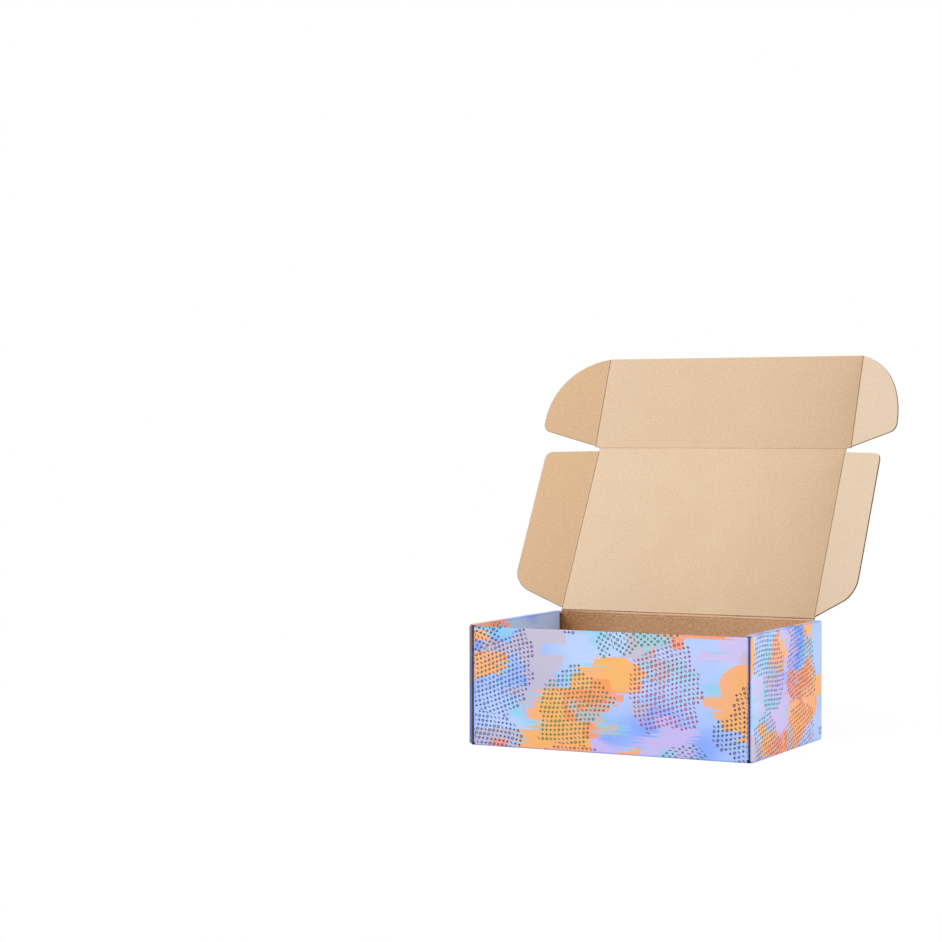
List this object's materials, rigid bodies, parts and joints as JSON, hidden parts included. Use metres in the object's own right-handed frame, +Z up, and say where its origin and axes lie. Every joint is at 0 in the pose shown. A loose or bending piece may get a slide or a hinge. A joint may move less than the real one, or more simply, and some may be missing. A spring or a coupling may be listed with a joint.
{
  "type": "corrugated mailer box",
  "caption": "Fluted-board mailer box standing open: rolled double side walls with locking tabs, and a hinged lid with side flaps and a front flap with ears that tuck into the walls.",
  "frame": {"origin": "middle of the tray's underside, which rests on the table", "axes": "+X along the front wall to the right, +Y from the front wall to the back wall, +Z up"},
  "size_m": [0.3384, 0.2869, 0.3289],
  "materials": {
    "printed_board": "matte print on a clay-coated liner, in soft fields of colour with small marks",
    "kraft_board": "bare matte kraft liner, the printed liner on its other face"
  },
  "bodies": {
    "tray": {"tray": "printed_board"},
    "lid_fold": {"lid_fold": "printed_board"},
    "lid": {"lid": "kraft_board"},
    "lid_side_flap_left": {"lid_side_flap_left": "kraft_board"},
    "lid_side_flap_right": {"lid_side_flap_right": "kraft_board"},
    "front_flap": {"front_flap": "kraft_board"},
    "front_flap_ear_left": {"front_flap_ear_left": "kraft_board"},
    "front_flap_ear_right": {"front_flap_ear_right": "kraft_board"}
  },
  "joints": [
    {"name": "lid_lower_fold", "type": "hinge", "parent": "tray", "child": "lid_fold", "pos_m": [0, 0.084, 0.09916], "axis": [-1, 0, 0], "range_deg": [-60, 30]},
    {"name": "lid_upper_fold", "type": "hinge", "parent": "lid_fold", "child": "lid", "pos_m": [0, 0.08467, 0.10167], "axis": [-1, 0, 0], "range_deg": [-60, 30]},
    {"name": "side_flap_left_fold", "type": "hinge", "parent": "lid", "child": "lid_side_flap_left", "pos_m": [-0.11876, 0.08467, 0.10167], "axis": [0, -0.5, -0.866], "range_deg": [-60, 45]},
    {"name": "side_flap_right_fold", "type": "hinge", "parent": "lid", "child": "lid_side_flap_right", "pos_m": [0.11876, 0.08467, 0.10167], "axis": [0, 0.5, 0.866], "range_deg": [-60, 45]},
    {"name": "front_flap_fold", "type": "hinge", "parent": "lid", "child": "front_flap", "pos_m": [0, 0.16775, 0.24557], "axis": [-1, 0, 0], "range_deg": [-83, 22]},
    {"name": "ear_left_fold", "type": "hinge", "parent": "front_flap", "child": "front_flap_ear_left", "pos_m": [-0.12348, 0.16775, 0.24557], "axis": [0, -0.3907, -0.9205], "range_deg": [-65, 40]},
    {"name": "ear_right_fold", "type": "hinge", "parent": "front_flap", "child": "front_flap_ear_right", "pos_m": [0.12348, 0.16775, 0.24557], "axis": [0, 0.3907, 0.9205], "range_deg": [-65, 40]}
  ]
}
